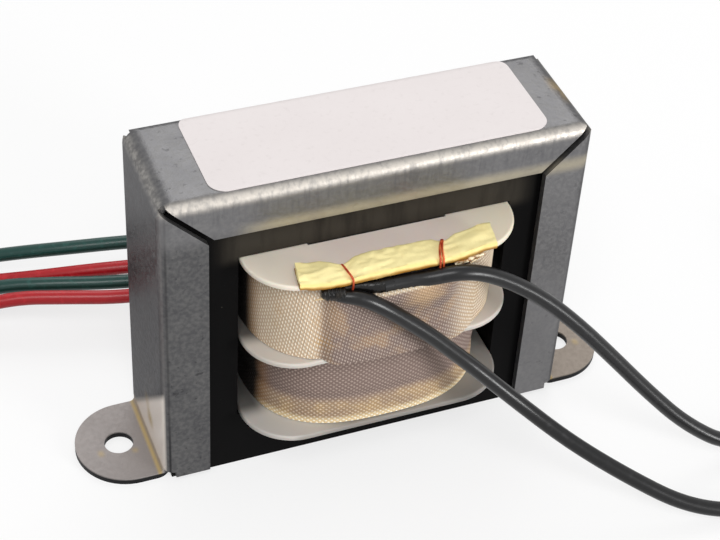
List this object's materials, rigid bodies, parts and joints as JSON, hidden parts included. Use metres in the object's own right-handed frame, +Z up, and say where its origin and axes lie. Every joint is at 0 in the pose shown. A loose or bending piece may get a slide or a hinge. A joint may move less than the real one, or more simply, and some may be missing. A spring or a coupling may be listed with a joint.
{
  "type": "open-frame power transformer",
  "caption": "Open-frame mains transformer for a small tube amplifier: laminated core in a folded steel channel bracket with drilled feet, taped coils on a flanged bobbin and flying leads.",
  "frame": {"origin": "on the mounting plane, midway between the two foot holes", "axes": "+X along the row of the two feet, +Z up from the mounting plane, -Y is the side with the primary leads"},
  "size_m": [0.1843, 0.0987, 0.0578],
  "materials": {
    "bracket_steel": "satin plated sheet, folded, with varnish stains",
    "core_steel": "black varnished laminations",
    "bobbin_nylon": "translucent off-white nylon",
    "enamelled_copper": "enamelled copper wire, layer wound",
    "insulation_paper": "varnished insulation paper",
    "cloth_tape": "woven cotton tape, varnish soaked",
    "splice_strip": "folded yellow insulation strip",
    "red_enamel": "red enamelled wire",
    "label_paper": "plain white paper label",
    "black_insulation": "glossy black wire insulation",
    "red_insulation": "glossy red wire insulation",
    "green_insulation": "glossy dark green wire insulation",
    "tinned_copper": "tinned strands"
  },
  "bodies": {
    "root": {"channel_bracket": "bracket_steel", "e_laminations": "core_steel", "i_laminations": "core_steel", "bobbin": "bobbin_nylon", "primary_winding": "enamelled_copper", "plate_winding": "enamelled_copper", "filament_winding": "enamelled_copper", "secondary_insulation": "insulation_paper", "lower_tape": "cloth_tape", "upper_tape": "cloth_tape", "front_strip": "splice_strip", "rear_strip": "splice_strip", "front_wire_ends": "red_enamel", "rear_wire_ends": "red_enamel", "label": "label_paper", "black_lead_a": "black_insulation", "black_lead_b": "black_insulation", "red_lead_a": "red_insulation", "red_lead_b": "red_insulation", "green_lead_a": "green_insulation", "green_lead_b": "green_insulation", "black_lead_a_end": "tinned_copper", "black_lead_b_end": "tinned_copper", "red_lead_a_end": "tinned_copper", "red_lead_b_end": "tinned_copper", "green_lead_a_end": "tinned_copper", "green_lead_b_end": "tinned_copper"}
  },
  "joints": []
}
